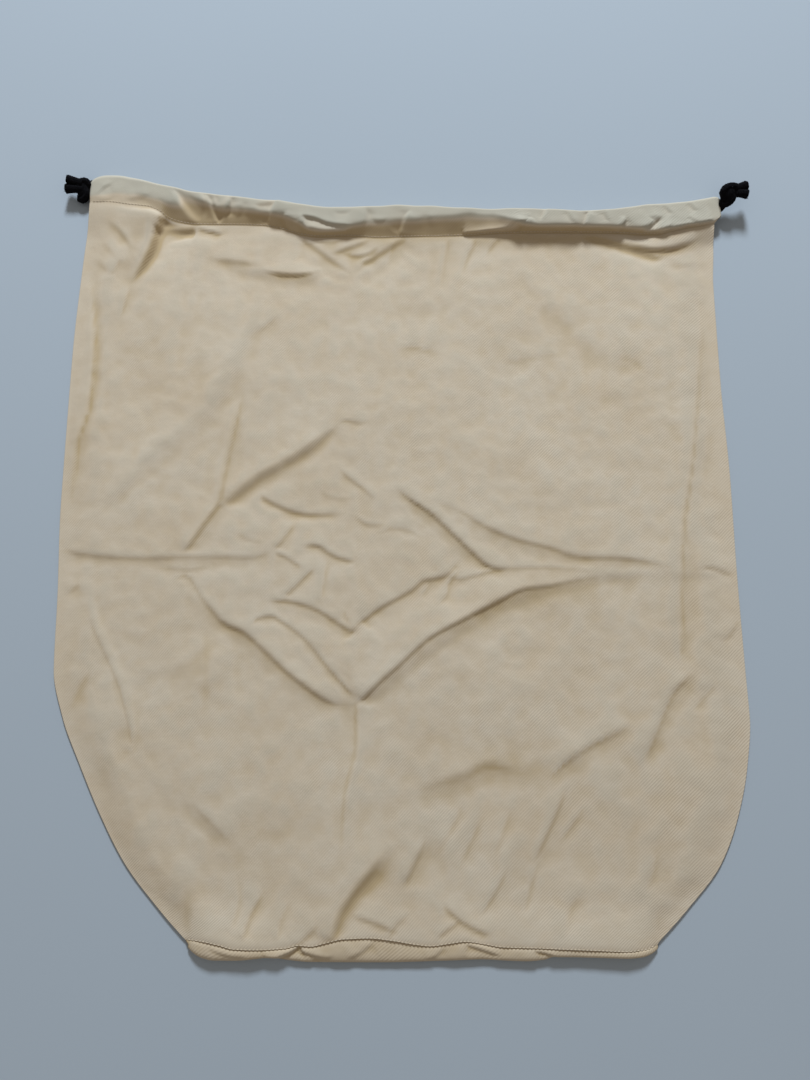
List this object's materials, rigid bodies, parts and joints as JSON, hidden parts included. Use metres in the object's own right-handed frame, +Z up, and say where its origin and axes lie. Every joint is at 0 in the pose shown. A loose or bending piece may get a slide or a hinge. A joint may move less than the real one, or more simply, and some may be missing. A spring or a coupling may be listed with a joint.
{
  "type": "drawstring dust bag",
  "caption": "Flat cloth storage bag with rounded lower corners, a base strip, a drawn casing along its mouth and knotted cords at both ends, lying flat.",
  "frame": {"origin": "on the surface that the bag lies on, in the middle of its footprint", "axes": "+Y along the bag towards its mouth, +X across it to the right, +Z up out of the surface, with the creased side up"},
  "size_m": [0.5192, 0.5524, 0.0153],
  "materials": {
    "twill": "matte undyed cotton twill with a fine diagonal weave and soft creases",
    "cord": "matte black braided cotton cord"
  },
  "bodies": {
    "root": {"front_panel": "twill", "back_panel": "twill", "base_strip": "twill", "cord_front": "cord", "cord_back": "cord", "knot_left": "cord", "knot_right": "cord"}
  },
  "joints": []
}
